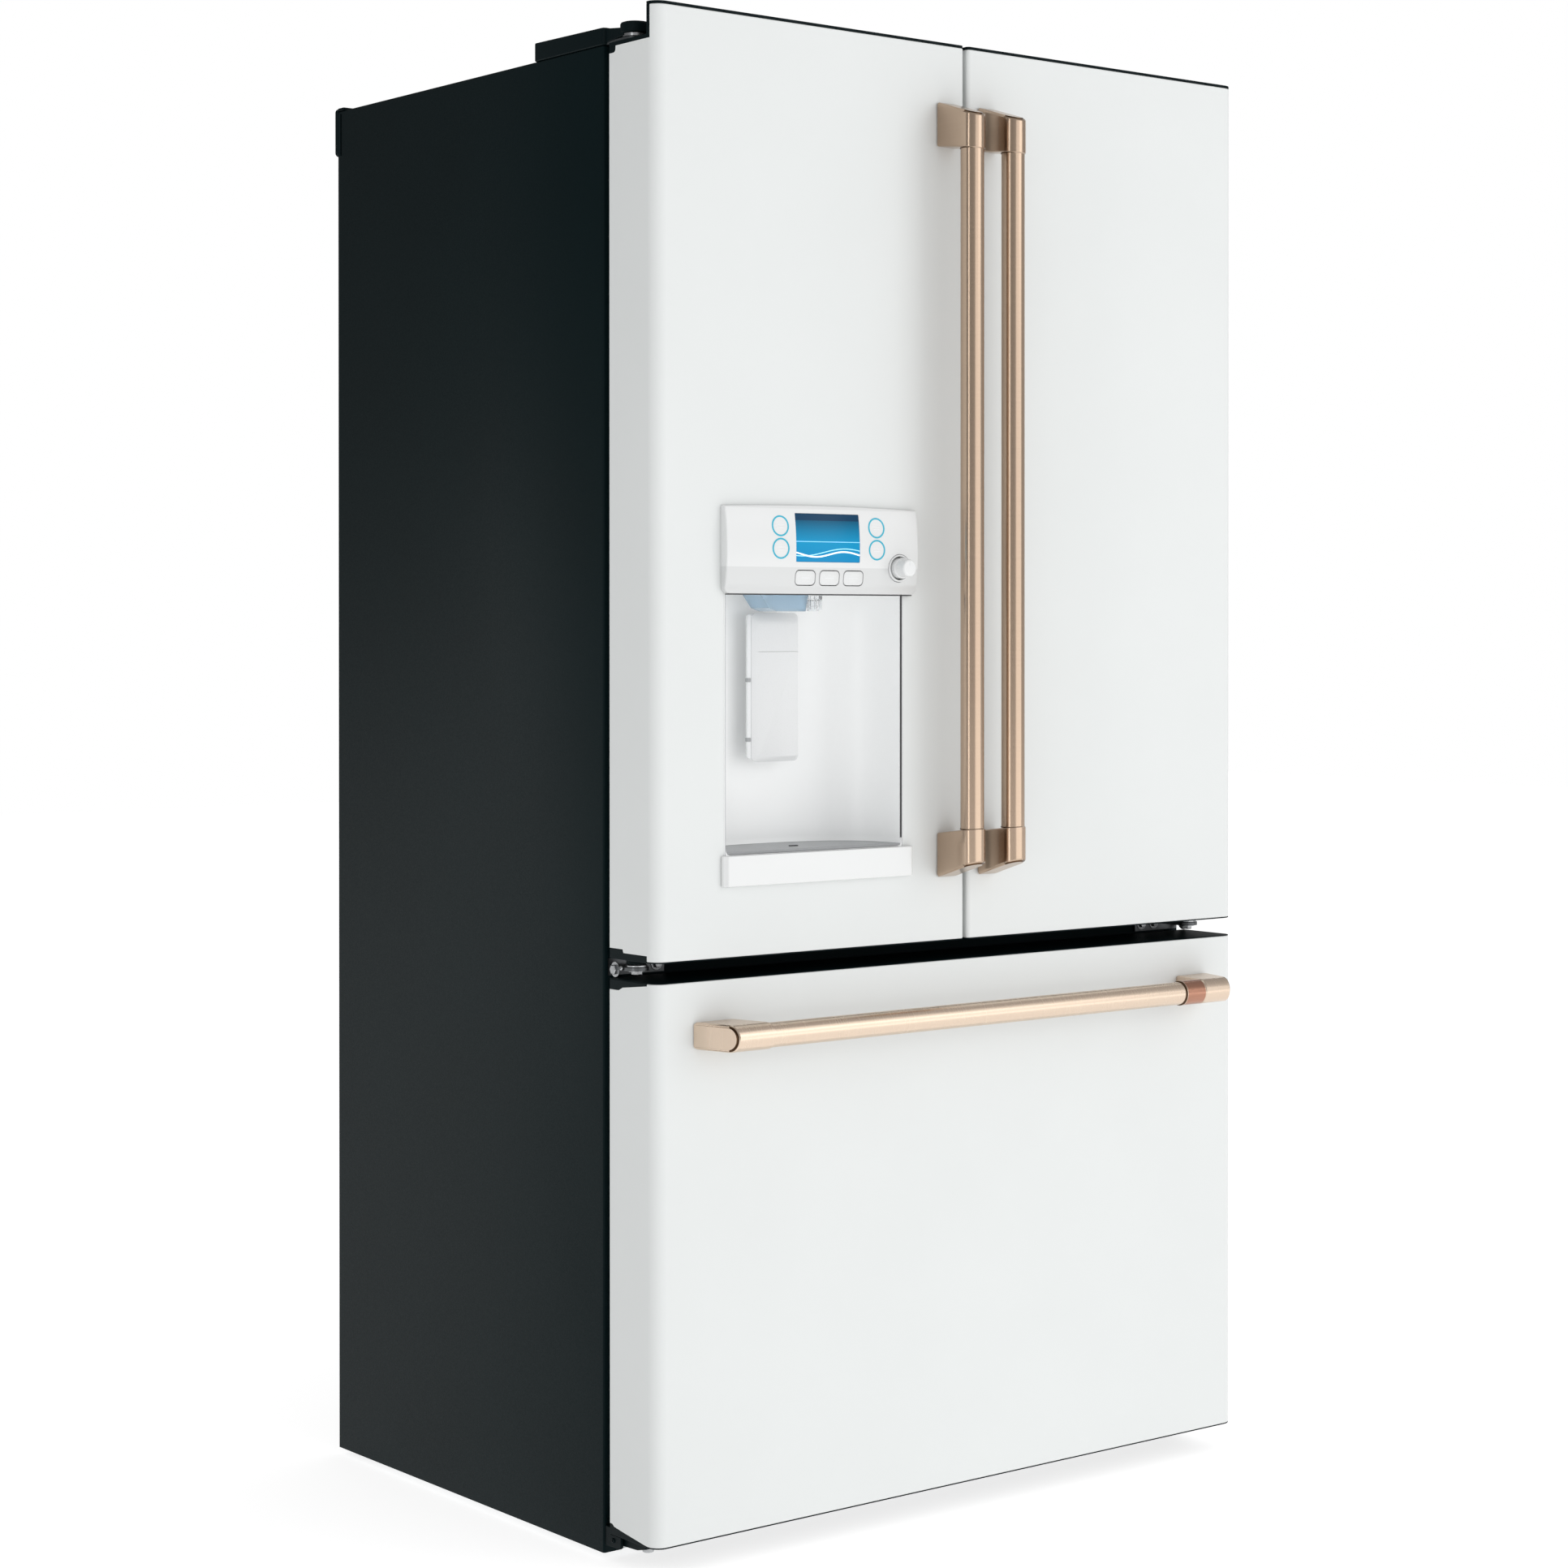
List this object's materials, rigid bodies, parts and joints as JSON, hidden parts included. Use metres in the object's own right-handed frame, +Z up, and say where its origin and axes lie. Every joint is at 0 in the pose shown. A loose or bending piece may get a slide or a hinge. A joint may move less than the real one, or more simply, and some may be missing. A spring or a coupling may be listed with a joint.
{
  "type": "french door refrigerator",
  "caption": "Freestanding refrigerator with two side-hinged upper doors, a bottom freezer drawer, round bar handles and a door-mounted water and ice dispenser.",
  "frame": {"origin": "on the floor, under the centre of the whole object's box", "axes": "+Z up, the doors face -Y, +X to the right when facing the doors"},
  "size_m": [0.908, 0.7976, 1.775],
  "materials": {
    "case_paint": "satin",
    "door_white": "matte",
    "gloss_white": "gloss",
    "liner_white": "satin",
    "black_plastic": "satin",
    "seal_rubber": "matte",
    "bronze": "brushed",
    "steel": "satin",
    "galvanised": "matte",
    "shelf_glass": "gloss",
    "clear_plastic": "gloss",
    "display_glass": "gloss",
    "grey_plastic": "satin",
    "foam": "matte"
  },
  "bodies": {
    "cabinet": {"outer_wrapper": "case_paint", "cabinet_foam": "foam", "fresh_food_liner": "liner_white", "freezer_liner": "liner_white", "center_rail": "case_paint", "back_panel": "case_paint", "base_frame": "galvanised", "machine_cover": "black_plastic", "compressor": "black_plastic", "condenser": "galvanised", "evaporator": "galvanised", "evaporator_cover": "liner_white", "fresh_food_shelf": "shelf_glass", "crisper_cover": "shelf_glass", "top_hinge_left": "steel", "top_hinge_right": "steel", "hinge_cover_left": "black_plastic", "hinge_cover_right": "black_plastic", "middle_hinge_left": "steel", "middle_hinge_right": "steel"},
    "left_door": {"left_door_skin": "door_white", "left_door_core": "black_plastic", "left_door_gasket": "seal_rubber", "dispenser_panel": "gloss_white", "dispenser_well": "gloss_white", "dispenser_screen": "display_glass", "dispenser_chute": "clear_plastic", "dispenser_tray": "grey_plastic", "dispenser_sill": "gloss_white", "left_handle_bar": "bronze", "left_handle_post_upper": "bronze", "left_handle_post_lower": "bronze"},
    "right_door": {"right_door_skin": "door_white", "right_door_core": "black_plastic", "right_door_gasket": "seal_rubber", "right_handle_bar": "bronze", "right_handle_post_upper": "bronze", "right_handle_post_lower": "bronze"},
    "freezer_drawer": {"drawer_skin": "door_white", "drawer_core": "black_plastic", "drawer_gasket": "seal_rubber", "drawer_handle_bar": "bronze", "drawer_handle_post_left": "bronze", "drawer_handle_post_right": "bronze", "freezer_basket": "clear_plastic"},
    "mullion_flap": {"mullion_flap": "grey_plastic"},
    "dispenser_dial": {"dispenser_dial": "gloss_white"},
    "dispenser_key_1": {"dispenser_key_1": "gloss_white"},
    "dispenser_key_2": {"dispenser_key_2": "gloss_white"},
    "dispenser_key_3": {"dispenser_key_3": "gloss_white"},
    "dispenser_paddle": {"dispenser_paddle": "gloss_white"},
    "drawer_slide_left": {"drawer_slide_left": "galvanised"},
    "drawer_slide_right": {"drawer_slide_right": "galvanised"},
    "crisper_left": {"crisper_left": "clear_plastic"},
    "crisper_right": {"crisper_right": "clear_plastic"},
    "condenser_fan": {"condenser_fan": "black_plastic"},
    "leveling_leg_left": {"leveling_leg_left": "steel"},
    "leveling_leg_right": {"leveling_leg_right": "steel"},
    "rear_roller_left": {"rear_roller_left": "black_plastic"},
    "rear_roller_right": {"rear_roller_right": "black_plastic"}
  },
  "joints": [
    {"name": "left_door_hinge", "type": "hinge", "parent": "cabinet", "child": "left_door", "pos_m": [-0.434, -0.26625, 0.6925], "axis": [0, 0, -1], "range_deg": [0, 115]},
    {"name": "right_door_hinge", "type": "hinge", "parent": "cabinet", "child": "right_door", "pos_m": [0.434, -0.26625, 0.6925], "axis": [0, 0, 1], "range_deg": [0, 115]},
    {"name": "mullion_flap_hinge", "type": "hinge", "parent": "left_door", "child": "mullion_flap", "pos_m": [-0.052, -0.21875, 0.7594], "axis": [0, 0, 1], "range_deg": [0, 90]},
    {"name": "freezer_drawer_slide", "type": "slide", "parent": "cabinet", "child": "freezer_drawer", "axis": [0, -1, 0], "range_m": [0, 0.4]},
    {"name": "drawer_slide_left_travel", "type": "slide", "parent": "cabinet", "child": "drawer_slide_left", "axis": [0, -1, 0], "range_m": [0, 0.2]},
    {"name": "drawer_slide_right_travel", "type": "slide", "parent": "cabinet", "child": "drawer_slide_right", "axis": [0, -1, 0], "range_m": [0, 0.2]},
    {"name": "crisper_left_slide", "type": "slide", "parent": "cabinet", "child": "crisper_left", "axis": [0, -1, 0], "range_m": [0, 0.1]},
    {"name": "crisper_right_slide", "type": "slide", "parent": "cabinet", "child": "crisper_right", "axis": [0, -1, 0], "range_m": [0, 0.1]},
    {"name": "dispenser_dial_spin", "type": "hinge", "parent": "left_door", "child": "dispenser_dial", "pos_m": [-0.1125, -0.33325, 1.141], "axis": [0, -1, 0], "continuous": true},
    {"name": "dispenser_key_1_press", "type": "slide", "parent": "left_door", "child": "dispenser_key_1", "axis": [0, 1, 0], "range_m": [0, 0.001], "stiffness_N_per_m": 400, "springref_m": -0.001},
    {"name": "dispenser_key_2_press", "type": "slide", "parent": "left_door", "child": "dispenser_key_2", "axis": [0, 1, 0], "range_m": [0, 0.001], "stiffness_N_per_m": 400, "springref_m": -0.001},
    {"name": "dispenser_key_3_press", "type": "slide", "parent": "left_door", "child": "dispenser_key_3", "axis": [0, 1, 0], "range_m": [0, 0.001], "stiffness_N_per_m": 400, "springref_m": -0.001},
    {"name": "dispenser_paddle_push", "type": "hinge", "parent": "left_door", "child": "dispenser_paddle", "pos_m": [-0.22875, -0.25475, 1.0915], "axis": [1, 0, 0], "range_deg": [0, 6], "stiffness_Nm_per_rad": 1.5, "springref_deg": -5.73},
    {"name": "condenser_fan_spin", "type": "hinge", "parent": "cabinet", "child": "condenser_fan", "pos_m": [-0.07, 0.29575, 0.167], "axis": [1, 0, 0], "continuous": true},
    {"name": "leveling_leg_left_turn", "type": "hinge", "parent": "cabinet", "child": "leveling_leg_left", "pos_m": [-0.41, -0.18325, 0], "axis": [0, 0, 1], "continuous": true},
    {"name": "rear_roller_left_spin", "type": "hinge", "parent": "cabinet", "child": "rear_roller_left", "pos_m": [-0.396, 0.34075, 0.018], "axis": [1, 0, 0], "continuous": true},
    {"name": "leveling_leg_right_turn", "type": "hinge", "parent": "cabinet", "child": "leveling_leg_right", "pos_m": [0.41, -0.18325, 0], "axis": [0, 0, 1], "continuous": true},
    {"name": "rear_roller_right_spin", "type": "hinge", "parent": "cabinet", "child": "rear_roller_right", "pos_m": [0.396, 0.34075, 0.018], "axis": [1, 0, 0], "continuous": true}
  ],
  "couplings": [
    {"joint": "drawer_slide_left_travel", "follows": "freezer_drawer_slide", "ratio": 0.5},
    {"joint": "drawer_slide_right_travel", "follows": "freezer_drawer_slide", "ratio": 0.5},
    {"joint": "mullion_flap_hinge", "follows": "left_door_hinge", "ratio": 0.7826}
  ]
}
